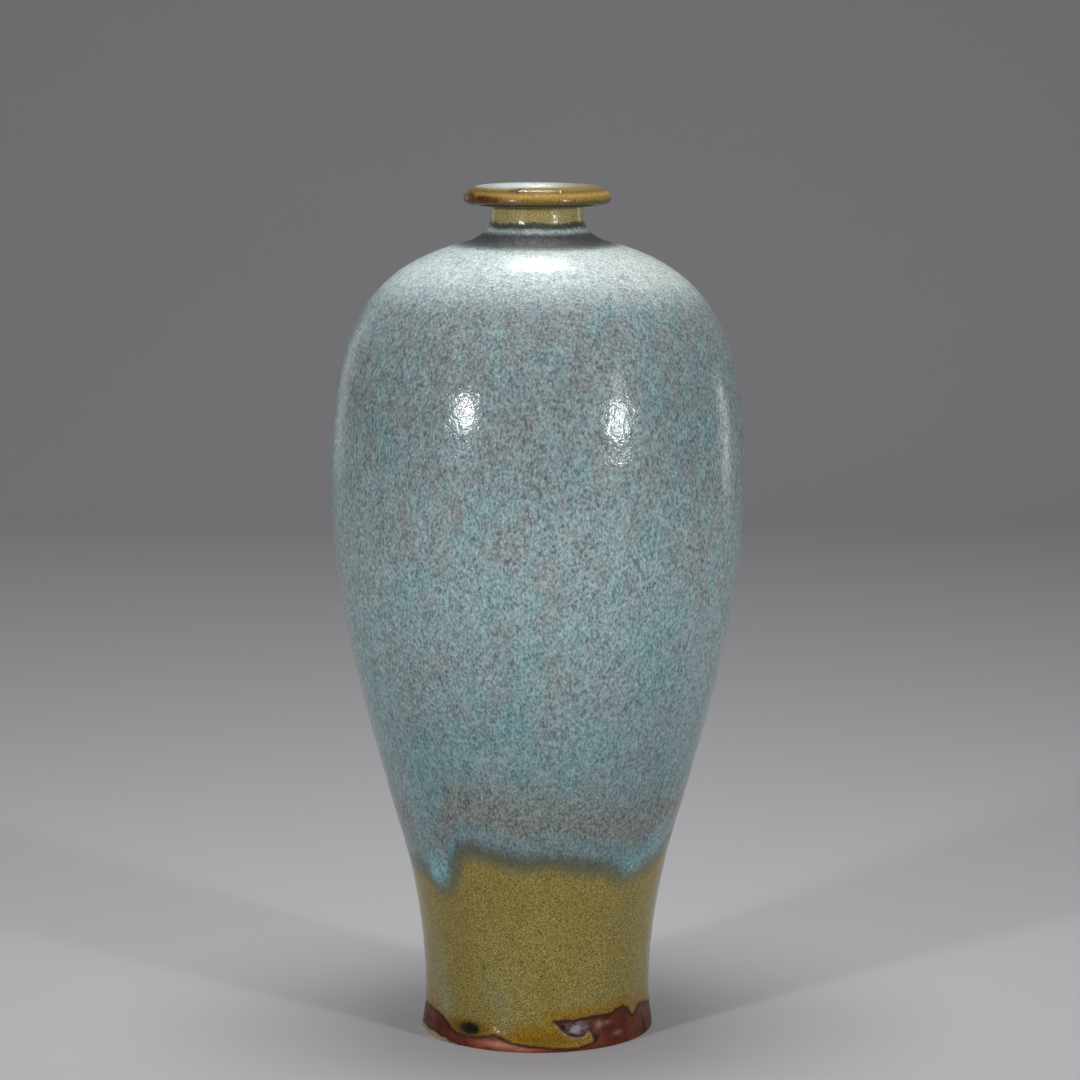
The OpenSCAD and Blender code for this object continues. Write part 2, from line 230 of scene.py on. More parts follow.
def blue_edge(bearing):
    """Height of the blue coat's lower edge."""
    uneven = wobble(bearing, seed=5, waves=[(8, 24, 1), (30, 70, 0.5)], size=0.5)
    return with_front(bearing, BLUE_FRONT, edge(bearing, BLUE_EDGE_Z, BLUE_RUNS, BLUE_STEEPNESS)) + uneven


def spot(bearing, z, middle, half, radius=40.0, power=2.0):
    """1 in the middle of an oval place, fading to 0 outside it; half is (mm round, mm up)."""
    around = np.radians((bearing - middle[0] + 180) % 360 - 180) * radius
    return np.exp(-(np.sqrt((around / half[0]) ** 2 + ((z - middle[1]) / half[1]) ** 2)) ** power)


def spots(bearing, z, places):
    """Spots together, each with its strength, middle, half and, where they differ, radius and power."""
    return sum(strength * spot(bearing, z, *place) for strength, *place in places)


def thick_line(points, step=0.15):
    """A closed outline as points no more than a step apart."""
    out = []
    for a, b in zip(points, points[1:] + points[:1]):
        n = max(1, int(math.dist(a, b) / step))
        out += [(a[0] + (b[0] - a[0]) * i / n, a[1] + (b[1] - a[1]) * i / n) for i in range(n)]
    return np.array(out)


def inside(points, x, y):
    """Which places lie inside a closed outline."""
    hit = np.zeros(x.shape, bool)
    for (ax, ay), (bx, by) in zip(points, points[1:] + points[:1]):
        if ay == by:
            continue
        crosses = (ay > y) != (by > y)
        hit ^= crosses & (x < (bx - ax) * (y - ay) / (by - ay) + ax)
    return hit


FOOT_COAT_R = 40.5
# Millimetres round the foot to one degree
FOOT_MM = math.radians(1) * FOOT_COAT_R
BARE = [(b * FOOT_MM, z) for b, z in BARE_PLACES]
REMNANT = [(b * FOOT_MM, z) for b, z in REMNANT_PLACES]


# Above the reach the olive coat's edge is too far off to matter, and the depth there is set to far. Places
# are worked out in batches, which saves memory.
EDGE_REACH_Z = 32
FAR = 30.0
PLACES_AT_ONCE = 1500


def olive_depth(bearing, z):
    """Distance in mm from the olive coat's edge, above 0 inside the coat."""
    around = np.arange(-180, 180, 0.2)
    line = np.stack([around * FOOT_MM, olive_edge(around)], 1)
    x = ((bearing + 180) % 360 - 180) * FOOT_MM
    bare, rest = inside(BARE, x, z), inside(REMNANT, x, z)
    coated = ((z > olive_edge(bearing)) & ~bare) | rest
    rims = [line[~inside(BARE, line[:, 0], line[:, 1])]]
    for outline, above in ((BARE, True), (REMNANT, False)):
        dense = thick_line(outline)
        over_line = dense[:, 1] > np.interp(dense[:, 0], line[:, 0], line[:, 1])
        rims.append(dense[over_line == above])
    rim = np.concatenate(rims)
    near = np.full(x.shape, FAR)
    low = z < EDGE_REACH_Z
    pairs = np.stack([x[low], z[low]], 1)
    found = [np.zeros(0)]
    for i in range(0, len(pairs), PLACES_AT_ONCE):
        part = pairs[i:i + PLACES_AT_ONCE]
        d2 = ((part[:, None, :] - rim[None, :, :]) ** 2).sum(2)
        found.append(np.sqrt(d2.min(1)))
    near[low] = np.concatenate(found)
    return np.where(coated, near, -near)


def swell(bearing, z):
    """The uneven wall that throwing leaves, in mm, the same for the clay and both coats."""
    b = np.radians(bearing)
    rings = np.sin(2 * math.pi * z / 11.5 + b) + 0.6 * np.sin(2 * math.pi * z / 6.3 - b + 1.1)
    round_off = np.sin(2 * b + 0.7) * 0.16 + np.sin(3 * b + z / 60) * 0.07
    dents = np.sin(5 * b + z / 23) * np.sin(z / 31 + 2 * b) * 0.09
    body = smooth(4, 22, z) * (1 - smooth(262, 284, z))
    return body * (rings * 0.045 + round_off + dents)


# Meshes
def place(bearing, r, z):
    """Places in metres from bearing, radius and height, with bearing 0 at the front."""
    b = np.radians(bearing)
    return np.stack([r * np.sin(b), -r * np.cos(b), z], -1) * 0.001


def grid_mesh(name, points, marks, closed):
    """A mesh from rows of points that go round the axis; marks are its named values per point."""
    rows, cols = points.shape[:2]
    index = np.arange(rows * cols).reshape(rows, cols)
    below = index if closed else index[:-1]
    above = np.roll(index, -1, 0) if closed else index[1:]
    corners = [below, np.roll(below, -1, 1), np.roll(above, -1, 1), above]
    faces = np.stack(corners, -1).reshape(-1, 4).tolist()
    vertices = points.reshape(-1, 3)
    if not closed:
        ends = [vertices[index[0]].mean(0), vertices[index[-1]].mean(0)]
        vertices = np.concatenate([vertices, ends])
        n = rows * cols
        for c in range(cols):
            d = (c + 1) % cols
            faces.append([int(index[0, d]), int(index[0, c]), n])
            faces.append([int(index[-1, c]), int(index[-1, d]), n + 1])
    quads = np.array([f for f in faces if len(f) == 4])
    a, b, c, d = (vertices[quads[:, i]] for i in range(4))
    volume = (np.cross(b - a, c - a) * a).sum() + (np.cross(c - a, d - a) * a).sum()
    if volume < 0:
        faces = [f[::-1] for f in faces]
    mesh = bpy.data.meshes.new(name)
    mesh.from_pydata(vertices.tolist(), [], faces)
    for mark, values in marks.items():
        flat = np.zeros(len(vertices), np.float32)
        flat[:rows * cols] = values.reshape(-1)
        mesh.attributes.new(mark, "FLOAT", "POINT").data.foreach_set("value", flat)
    mesh.polygons.foreach_set("use_smooth", [True] * len(mesh.polygons))
    mesh.update()
    piece = bpy.data.objects.new(name, mesh)
    bpy.context.scene.collection.objects.link(piece)
    return piece


# Spots of each kind: strength, (bearing, height) of the middle, half width and height, radius, power
POOLS = [(1.0, (-47.5, 63), (4.4, 7.0), 40, 2.6), (0.4, (-52, 84), (6, 16)), (0.7, (45, 65), (6.5, 4.0)),
         (0.45, (58, 73), (6, 6)), (0.6, (113, 64), (6, 8)), (0.6, (-148, 64), (7, 9))]
RUST = [(1.0, (-72, 296.4), (9, 2.1), 25), (0.85, (-48, 296.1), (6.5, 1.1), 25),
        (0.5, (-36, 295.9), (4, 0.8), 25), (0.5, (150, 296.5), (10, 1.5), 25)]
SOOT = [(1.0, (-35.5, 6.9), (4.6, 2.5), 40.5, 2.2), (0.55, (-27.3, 29.8), (0.75, 0.8)),
        (0.6, (30.8, 18.6), (0.75, 0.9)), (0.5, (78, 12), (1.4, 1.0)), (0.5, (-150, 18), (1.2, 1.0))]
LIP_SOOT = [(0.6, (-18.5, 298.6), (3.0, 1.0), 23)]
HALOS = [(1.0, (-36, 6.6), (6.4, 3.4), 40.5, 2.2), (0.5, (-45, 6.5), (5, 2.2), 40.5),
         (0.45, (6, 4.2), (9, 1.6), 40.5)]
MIST = [(0.9, (-54, 13.5), (3.6, 5.0)), (0.5, (-60, 24), (4.5, 9)), (0.5, (-20, 18), (4.5, 5.5)),
        (0.45, (-16, 9.5), (3.0, 3)), (0.5, (120, 30), (9, 14)), (0.4, (-160, 26), (8, 12))]


def marks_at(bearing, z, r, upper, throat):
    """What the materials need to know at each point of a coat."""
    olive_in = olive_depth(bearing, z)
    slope = (blue_edge(bearing + 0.9) - blue_edge(bearing - 0.9)) / (1.8 * FOOT_MM)
    above = z - blue_edge(bearing)
    low = above / (1 + (np.sqrt(1 + np.minimum(slope ** 2, 12)) - 1) * np.exp(-(above / 8) ** 2))
    high = 2.4 * (BLUE_TOP_Z + wobble(bearing, 8, [(3, 12, 1), (20, 60, 0.6)], 0.3) - z)
    blue_in = np.where(upper, np.clip(np.minimum(low, high), -30, 60), -30)
    on_lip = smooth(291.5, 294, z) * (1 - throat)
    pool = spots(bearing, z, POOLS)
    rust = spots(bearing, z, RUST) * on_lip
    soot = spots(bearing, z, SOOT) + spots(bearing, z, LIP_SOOT) * on_lip
    halo = spots(bearing, z, HALOS)
    mist = spots(bearing, z, MIST)
    lee = 2.4 * (1 - smooth(-12, 2, r * np.sin(np.radians(bearing))))
    # The lip's top and the mouth's flare: pale glaze with a painted highlight of the light from above, more
    # at the left than at the right.
    dish = (1 - smooth(CREST_R - 1.4 + lee, CREST_R + 0.8 + lee, r)) * smooth(294.0, 297.5, z)
    pale_and_lit_lip_top = dish * on_lip * (1 - 0.8 * smooth(0, 15, r * np.sin(np.radians(bearing))))
    # pale: the shoulder's pale glaze, lightened further as painted light from the lamp above; its lower
    # limit dips at the sides so that a row across looks evenly lit.
    low_pale = 257.5 - 3 * (1 - np.abs(np.cos(np.radians(bearing))))
    pale = smooth(26.0, 31.5, r) * smooth(low_pale, low_pale + 16.5, z) * upper
    # Painted shadow of the lip: the glaze round the neck's root is darkened and made rougher where the lip's
    # shadow falls.
    painted_lip_shadow = (1 - smooth(24.5, 30.0, r)) * (1 - smooth(282.3, 283.9, z)) * upper
    ring = np.exp(-((z - 284.2) / 0.75) ** 2) * upper
    # Painted reflection: a golden band along the lip's front.
    painted_lip_reflection = np.exp(-((z - 297.1) / 0.55) ** 2) * (r > 22.5)
    # Painted shade under the lip and on the neck's top, and a darker band along the lip's front at 298.2 mm.
    lip_shade_and_band = smooth(291.8, 293.6, z) * (1 - smooth(294.9, 295.9, z)) * (1 - throat)
    lip_shade_and_band = lip_shade_and_band + 0.5 * np.exp(-((z - 298.2) / 0.6) ** 2) * (r > 20.5)
    cream = (z < 3.4) * (np.abs(bearing + 68) < 32) * 1.0
    return {"olive_in": np.clip(olive_in, -10, 30), "blue_in": blue_in, "pool": pool, "rust": rust,
            "soot": soot, "halo": halo, "mist": mist, "pale_and_lit_lip_top": pale_and_lit_lip_top, "throat": throat, "pale": pale,
            "painted_lip_shadow": painted_lip_shadow, "ring": ring, "painted_lip_reflection": painted_lip_reflection, "lip_shade_and_band": lip_shade_and_band, "cream": cream,
            "low_in": np.clip(low, -20, 60)}


# Above this height and within this radius the outline bends tightly, so a coat's inner rows are closer
NECK_FROM_Z = 262
NECK_WITHIN_R = 32
NECK_STEP = 2.0
HIDDEN_STEP = 12.0


def inner_spacing(r, z):
    return NECK_STEP if z > NECK_FROM_Z and r < NECK_WITHIN_R else HIDDEN_STEP


def coat(name, line, columns, spacing, outer, inner):
    """A closed shell round the pot: outer and inner give its faces' offsets from the line in mm."""
    bearings = (np.arange(columns) * 360 / columns - 180)[None, :]
    front, front_way = resample(line, spacing)
    back, back_way = resample(line, inner_spacing)
    parts, marks = [], []
    for rows, way, offset in ((front, front_way, outer), (back[::-1], back_way[::-1], inner)):
        r, z = rows[:, :1], rows[:, 1:]
        b = np.repeat(bearings, len(rows), 0)
        zz, rr = np.repeat(z, columns, 1), np.repeat(r, columns, 1)
        throat = (rr < NECK_R - 0.5) * smooth(1, 3, LIP_TOP_Z - zz)
        upper = rr > NECK_R - 0.3
        mark = marks_at(b, zz, rr, upper, throat)
        t = offset(b, zz, mark) + swell(b, zz)
        parts.append(place(b, rr + t * way[:, :1], zz + t * way[:, 1:]))
        marks.append(mark)
    joined = {k: np.concatenate([m[k] for m in marks]) for k in marks[0]}
    return grid_mesh(name, np.concatenate(parts), joined, True)


# The olive coat's thickness low down, what it gains further up, and how far the coats' inner faces lie off
# the clay's outline: the olive one under it, the blue one over it
OLIVE_THIN = 0.34
OLIVE_GAIN = 0.26
INNER_FACE_OFF = 0.3


def olive_thickness(b, z, mark):
    d = mark["olive_in"]
    full = OLIVE_THIN + OLIVE_GAIN * smooth(6, 26, z)
    crater = spot(b, z, (20, 7), (13, 5.5), 40.5, 3)
    bead = 0.1 * np.exp(-((d - 1.1) / 0.8) ** 2) * (1 - smooth(14, 18, z)) * (1 - 0.8 * crater)
    full = full - 0.14 * crater
    rise = 1 - np.exp(-np.clip(d, 0, 30) / (0.42 - 0.27 * crater))
    coat_t = (full + bead) * rise + 0.12 * mark["soot"] * (z < 40)
    on_remnant = (z < 3.2) & (b < -40) & (b > -100)
    coat_t = np.where(on_remnant, np.minimum(coat_t, OLIVE_THIN), coat_t)
    return np.where(d > 0, coat_t, np.maximum(-INNER_FACE_OFF, 0.9 * d))


def olive_spacing(r, z):
    """Rows are close where the coat shows, and wide under the blue coat."""
    if z > NECK_FROM_Z:
        if z < 284 and r > CREST_R:
            return 1.8 if r < NECK_WITHIN_R else 8
        if z < 293:
            return 2.0 if r < 13 else 0.9
        return 0.7
    return 0.5 if z < 15 else 1.0 if z < 26 else 3.6 if z < 92 else 11


OLIVE_COLUMNS = 480
olive_coat = coat("olive_coat", coated_line, OLIVE_COLUMNS, olive_spacing, olive_thickness,
                  lambda b, z, mark: np.full(b.shape, -INNER_FACE_OFF))

blue_rows = body_line[(body_line[:, 1] > 50.0) & (body_line[:, 1] < BLUE_TOP_Z + 1.2)]


def blue_thickness(b, z, mark):
    d = mark["blue_in"]
    gain = 0.6 + 0.28 * smooth(0, 2.5, d) + 0.48 * smooth(2, 20, d) * smooth(0, 6, BLUE_TOP_Z - z + 1)
    gain = gain + 0.4 * mark["pool"] * (z < 100) * smooth(-1, 4, d)
    return np.where(d > 0, gain, 0.6 + np.maximum(-0.15, 0.25 * d))


def blue_spacing(r, z):
    if z < 88:
        return 1.1
    return 0.8 if r < NECK_WITHIN_R else 2.6


BLUE_COLUMNS = 400
blue_coat = coat("blue_coat", blue_rows, BLUE_COLUMNS, blue_spacing, blue_thickness,
                 lambda b, z, mark: np.full(b.shape, INNER_FACE_OFF))

# The lower section of the clay, with its turned foot
low_wall = body_line[body_line[:, 1] < SEAM_H + 12]
wall_rows, wall_way = resample(low_wall, lambda r, z: 1.5)
wall_in = wall_rows - wall_way * np.interp(wall_rows[:, 1], [0, BELLY_Z], [WALL_LOW, WALL_BELLY])[:, None]
turn_z = FLOOR_Z + FLOOR_ROUND
turn_r = np.interp(turn_z, wall_in[:, 1], wall_in[:, 0])
seam_in_r = np.interp(SEAM_H, wall_in[:, 1], wall_in[:, 0])
seam_out_r = np.interp(SEAM_H, body_line[:, 1], body_line[:, 0])
seam_mid_r = (seam_in_r + seam_out_r) / 2
ring_in_r = FOOT_R - FOOT_RING_W
ceiling = np.linspace(0.6, ring_in_r - RECESS_ROUND, 90)
scoop = 0.45 * smooth(0.0, 4.0, ceiling) - 0.35 * np.exp(-(ceiling / 2.6) ** 2)
tool_marks = 0.07 * np.sin(2 * math.pi * ceiling / 2.3) * smooth(3, 7, ceiling)
section = np.concatenate([
    np.stack([ceiling, RECESS_H - 0.2 + scoop + tool_marks - 0.2 * smooth(20, 31, ceiling)], 1),
    arc((ring_in_r - RECESS_ROUND, RECESS_H - RECESS_ROUND), (RECESS_ROUND, RECESS_ROUND), 88, 0, 10),
    arc((ring_in_r + FOOT_EDGE_R, FOOT_EDGE_R), (FOOT_EDGE_R, FOOT_EDGE_R), 180, 270, 8),
    np.stack([np.linspace(ring_in_r + 1.4, FOOT_R - 1.4, 12), np.zeros(12)], 1),
    arc((FOOT_R - FOOT_EDGE_R, FOOT_EDGE_R), (FOOT_EDGE_R, FOOT_EDGE_R), -90, 0, 10),
    resample(body_line[(body_line[:, 1] > 1) & (body_line[:, 1] < 16)], lambda r, z: 0.5)[0][1:],
    resample(body_line[(body_line[:, 1] > 16.4) & (body_line[:, 1] < SEAM_H)], lambda r, z: 3.0)[0],
    [(seam_out_r, SEAM_H), (seam_mid_r, SEAM_H), (seam_mid_r, SEAM_H + TONGUE_H)],
    [(np.interp(SEAM_H + TONGUE_H, wall_in[:, 1], wall_in[:, 0]), SEAM_H + TONGUE_H)],
    wall_in[(wall_in[:, 1] > turn_z) & (wall_in[:, 1] < SEAM_H + TONGUE_H)][::-2],
    arc((turn_r - FLOOR_ROUND, turn_z), (FLOOR_ROUND, FLOOR_ROUND), 0, -90, 8),
    [(0.6, FLOOR_Z)]])
# Spots on the bare clay, in the same form as those on the glaze
SMOKY = [(1.0, (30.0, 4.2), (1.3, 2.0), 40.5, 2.4), (1.0, (12.5, 8.6), (1.6, 1.6), 40.5),
         (0.8, (17, 5.6), (2.6, 0.9), 40.5), (0.6, (28, 8), (1.5, 1.2), 40.5), (0.5, (-70, 5), (9, 4), 40.5)]
# Painted highlights: pinkish patches where the glossy clay mirrors the front lamps.
PAINTED_CLAY_GLINTS = [(1.0, (-19, 2.6), (7, 1.0), 40.5), (0.6, (-7, 1.3), (4, 0.7), 40.5),
         (0.7, (32.5, 8.6), (1.6, 1.3), 40.5), (0.4, (38, 8.8), (2, 0.8), 40.5),
         (0.5, (44, 4.5), (2.2, 0.8), 40.5)]
CLAY_COLUMNS = 360
bearings = np.repeat((np.arange(CLAY_COLUMNS) * 360 / CLAY_COLUMNS - 180)[None, :], len(section), 0)
clay_r, clay_z = (np.repeat(section[:, i:i + 1], CLAY_COLUMNS, 1) for i in (0, 1))
outside = clay_r > np.interp(clay_z, wall_in[:, 1], wall_in[:, 0]) + 2
clay_points = place(bearings, clay_r + np.where(outside, swell(bearings, clay_z), 0), clay_z)
clay_depth = np.where(outside, olive_depth(bearings, clay_z), -10.0)
crater = spot(bearings, clay_z, (19.6, 7.9), (5.0, 3.1), 40.5, 2.4) * outside
smoky = spots(bearings, clay_z, SMOKY) * outside
fresh = spot(bearings, clay_z, (-12, 1.5), (24, 4.5), 40.5, 3.0) * outside
painted_clay_glints = spots(bearings, clay_z, PAINTED_CLAY_GLINTS) * outside
under = (clay_z < 5.6) * (clay_r < ring_in_r + 1.0) * 1.0
clay_marks = {"olive_in": np.clip(clay_depth, -10, 30), "crater": crater, "smoky": smoky, "fresh": fresh,
              "painted_clay_glints": painted_clay_glints, "under": under}
foot_clay = grid_mesh("foot_and_lower_wall", clay_points, clay_marks, False)


# Materials
def linear(value):
    """A screen value from 0 to 255 as the light that it stands for."""
    return value / 255 / 12.92 if value <= 10 else ((value / 255 + 0.055) / 1.055) ** 2.4


def paint(red, green, blue):
    """A colour read as screen values from 0 to 255."""
    return (linear(red), linear(green), linear(blue), 1)


class Nodes:
    """A material and short ways to add nodes to it; sizes of noise are in mm."""

    def __init__(self, name):
        self.material = bpy.data.materials.new(name)
        self.material.use_nodes = True
        self.tree = self.material.node_tree
        self.tree.nodes.clear()
        self.place = self.add("ShaderNodeTexCoord", out="Object")

    def add(self, kind, inputs=None, out=0, **settings):
        node = self.tree.nodes.new(kind)
        for key, value in settings.items():
            setattr(node, key, value)
        for key, value in (inputs or {}).items():
            if isinstance(value, bpy.types.NodeSocket):
                self.tree.links.new(value, node.inputs[key])
            else:
                node.inputs[key].default_value = value
        return node.outputs[out] if node.outputs else node

    def math(self, operation, a, b=0.0, clamp=False):
        return self.add("ShaderNodeMath", {0: a, 1: b}, operation=operation, use_clamp=clamp)

    def remap(self, value, low, high, to_low=0.0, to_high=1.0, soft=False):
        kind = "SMOOTHSTEP" if soft else "LINEAR"
        return self.add("ShaderNodeMapRange", {0: value, 1: low, 2: high, 3: to_low, 4: to_high},
                        interpolation_type=kind, clamp=True)

    def mix(self, share, a, b, blend="MIX"):
        return self.add("ShaderNodeMix", {0: share, 6: a, 7: b}, out=2, data_type="RGBA", blend_type=blend)

    def mark(self, name):
        return self.add("ShaderNodeAttribute", out="Fac", attribute_name=name)

    def stretched(self, x, y, z, shift=0.0):
        return self.add("ShaderNodeMapping", {"Vector": self.place, "Scale": (x, y, z),
                                              "Location": (shift, shift * 0.7, shift * 1.3)})

    def noise(self, vector, size_mm, detail=2.0, rough=0.5, distortion=0.0, out="Fac"):
        return self.add("ShaderNodeTexNoise", {"Vector": vector, "Scale": 1000.0 / size_mm, "Detail": detail,
                                               "Roughness": rough, "Distortion": distortion}, out=out)

    def between(self, value, low, high, dark, light):
        """A colour between two, by where the value lies from low to high."""
        return self.mix(self.remap(value, low, high), dark, light)

    def finish(self, colour, roughness, height, strength, depth, **sockets):
        bump = self.add("ShaderNodeBump", {"Height": height, "Strength": strength, "Distance": depth})
        inputs = {"Base Color": colour, "Roughness": roughness, "Normal": bump}
        inputs.update(sockets)
        shader = self.add("ShaderNodeBsdfPrincipled", inputs)
        self.add("ShaderNodeOutputMaterial", {"Surface": shader})
        return self.material


def shared_patterns(n):
    """The marks and noises that several parts of the glaze use; streaks are drawn out down the wall."""
    long = n.stretched(1, 1, 0.6)
    n.blue_in = n.mark("blue_in")
    n.olive_in = n.mark("olive_in")
    n.low_in = n.mark("low_in")
    n.pool = n.mark("pool")
    n.height = n.add("ShaderNodeSeparateXYZ", {0: n.place}, out="Z")
    n.fine = n.noise(long, 0.78, 2.5, 0.66, 0.3)
    n.mid = n.noise(long, 2.6, 2.0, 0.55)
    n.hue = n.noise(n.stretched(1, 1, 0.6, 4.4), 2.6, 2.0, 0.6)
    n.patches = n.noise(n.stretched(1, 1, 0.6, 7.3), 9.0, 3.0, 0.6)
    n.grain = n.noise(n.place, 0.46, 1.5, 0.7)
    n.tone = n.math("ADD", n.remap(n.fine, 0.27, 0.73), n.remap(n.mid, 0.2, 0.8, -0.2, 0.2))


def blue_ground(n):
    """Fine mottling in streaks, on patches of turquoise, grey-blue and brown-violet."""
    tone, hue, height = n.tone, n.hue, n.height
    broad = n.noise(n.stretched(1, 1, 0.7), 21.0, 3.0, 0.55)
    grey = n.between(tone, 0.1, 0.95, paint(90, 111, 115), paint(184, 207, 209))
    teal = n.between(tone, 0.1, 0.95, paint(84, 117, 121), paint(166, 206, 208))
    brown = n.between(tone, 0.1, 0.95, paint(98, 99, 99), paint(180, 182, 180))
    bias = n.remap(height, 0.23, 0.10, -0.085, 0.035)
    tealness = n.math("ADD", n.math("ADD", broad, bias), n.remap(hue, 0.25, 0.75, -0.07, 0.07))
    blue = n.mix(n.remap(tealness, 0.43, 0.64), grey, teal)
    brownness = n.math("ADD", n.patches, n.remap(hue, 0.25, 0.75, -0.07, 0.07))
    brownness = n.math("ADD", brownness, n.remap(height, 0.14, 0.23, -0.03, 0.07))
    blue = n.mix(n.math("MULTIPLY", n.remap(brownness, 0.46, 0.7), 0.75), blue, brown)
    fleck = n.remap(n.noise(n.stretched(1, 1, 0.65, 3.1), 1.1, 1.5, 0.6), 0.57, 0.71)
    blue = n.mix(n.math("MULTIPLY", fleck, 0.55), blue, paint(190, 208, 211))
    speck = n.remap(n.noise(n.stretched(1, 1, 0.75, 5.9), 0.8, 1.5, 0.6), 0.61, 0.72)
    blue = n.mix(n.math("MULTIPLY", speck, 0.5), blue, paint(64, 78, 83))
    rusty = n.remap(n.noise(n.stretched(1, 1, 0.75, 8.7), 1.5, 1.5, 0.6), 0.64, 0.74)
    blue = n.mix(n.math("MULTIPLY", rusty, 0.36), blue, paint(116, 102, 92))
    # Darker from 180 to 235 mm up, and much darker towards the bottom below 160 mm as painted shade of the
    # lower body.
    blue = n.mix(n.remap(height, 0.18, 0.235, 0.0, 0.2), blue, paint(72, 76, 80))
    return n.mix(n.remap(height, 0.16, 0.075, 0.0, 0.5), blue, paint(56, 74, 82))


def olive_ground(n):
    """Fine dark and light grains, amber towards the foot."""
    grain, height, olive_in = n.grain, n.height, n.olive_in
    olive = n.between(grain, 0.32, 0.68, paint(76, 65, 20), paint(176, 162, 90))
    warm = n.remap(n.noise(n.stretched(1, 1, 0.5, 2.2), 15.0, 2.0, 0.5), 0.4, 0.62)
    olive = n.mix(n.math("MULTIPLY", warm, 0.45), olive,
                  n.between(grain, 0.3, 0.7, paint(84, 66, 12), paint(166, 144, 60)))
    dark_grain = n.remap(n.noise(n.place, 0.62, 1.0, 0.5), 0.6, 0.7)
    olive = n.mix(n.math("MULTIPLY", dark_grain, 0.6), olive, paint(50, 38, 10))
    to_edge = n.math("ADD", olive_in, n.remap(n.mid, 0.2, 0.8, -1.6, 1.6))
    near_foot = n.remap(to_edge, 1.2, 6.5, 1.0, 0.0, True)
    to_floor = n.math("ADD", height, n.remap(n.patches, 0.3, 0.7, -0.002, 0.002))
    tongue = n.remap(to_floor, 0.0055, 0.0125, 1.0, 0.0, True)
    near_foot = n.math("MAXIMUM", near_foot, tongue)
    amber = n.between(grain, 0.3, 0.7, paint(88, 56, 2), paint(168, 128, 26))
    return n.mix(n.math("MULTIPLY", near_foot, 0.9), olive, amber)


def olive_places(n, olive):
    """What the olive glaze shows on lip and neck, in its blots and along its edge."""
    grain, mid, height = n.grain, n.mid, n.height
    on_top = n.remap(height, 0.2925, 0.2945)
    olive = n.mix(n.math("MULTIPLY", on_top, 0.75), olive,
                  n.between(grain, 0.3, 0.7, paint(104, 78, 28), paint(176, 146, 84)))
    # The neck's tan, lightened further as painted light from the front.
    on_neck = n.math("SUBTRACT", n.remap(height, 0.26, 0.264), on_top, True)
    olive = n.mix(n.math("MULTIPLY", on_neck, 0.8), olive,
                  n.between(grain, 0.3, 0.7, paint(132, 114, 64), paint(206, 190, 136)))
    # Painted shade under the lip, and the darker band on the lip's front.
    olive = n.mix(n.math("MULTIPLY", n.mark("lip_shade_and_band"), 0.85, True), olive, paint(40, 30, 10))
    olive = n.mix(n.math("MULTIPLY", n.mark("cream"), 0.75, True), olive, paint(172, 162, 112))
    olive = n.mix(n.math("MULTIPLY", n.mark("mist"), 0.6, True), olive,
                  n.between(grain, 0.3, 0.7, paint(84, 98, 78), paint(164, 170, 140)))
    # Painted reflection: the golden band along the lip's front.
    olive = n.mix(n.math("MULTIPLY", n.mark("painted_lip_reflection"), n.remap(grain, 0.3, 0.7, 0.2, 0.75), True), olive,
                  paint(214, 168, 100))
    patchy = n.math("MULTIPLY", n.mark("rust"), n.remap(mid, 0.3, 0.55, 0.45, 1.15), True)
    olive = n.mix(n.math("MULTIPLY", patchy, 0.9, True), olive,
                  n.between(n.hue, 0.35, 0.65, paint(34, 12, 4), paint(98, 46, 14)))
    # Pale glaze with a painted highlight on the lip's top and in the mouth.
    lit_lip_top_share = n.math("MULTIPLY", n.mark("pale_and_lit_lip_top"), n.remap(n.fine, 0.25, 0.5, 0.35, 1.0), True)
    olive = n.mix(lit_lip_top_share, olive, paint(192, 204, 202))
    olive = n.mix(n.math("MULTIPLY", n.mark("halo"), 0.6, True), olive, paint(84, 56, 14))
    blot = n.math("ADD", n.mark("soot"), n.remap(mid, 0.2, 0.8, -0.16, 0.16))
    olive = n.mix(n.remap(blot, 0.1, 0.85, 0.0, 0.98, True), olive, paint(20, 15, 10))
    rim = n.remap(n.math("ADD", n.olive_in, n.remap(mid, 0.2, 0.8, -0.5, 0.5)), 0.05, 1.0, 1.0, 0.0, True)
    return n.mix(n.math("MULTIPLY", rim, 0.88), olive, paint(42, 25, 12))


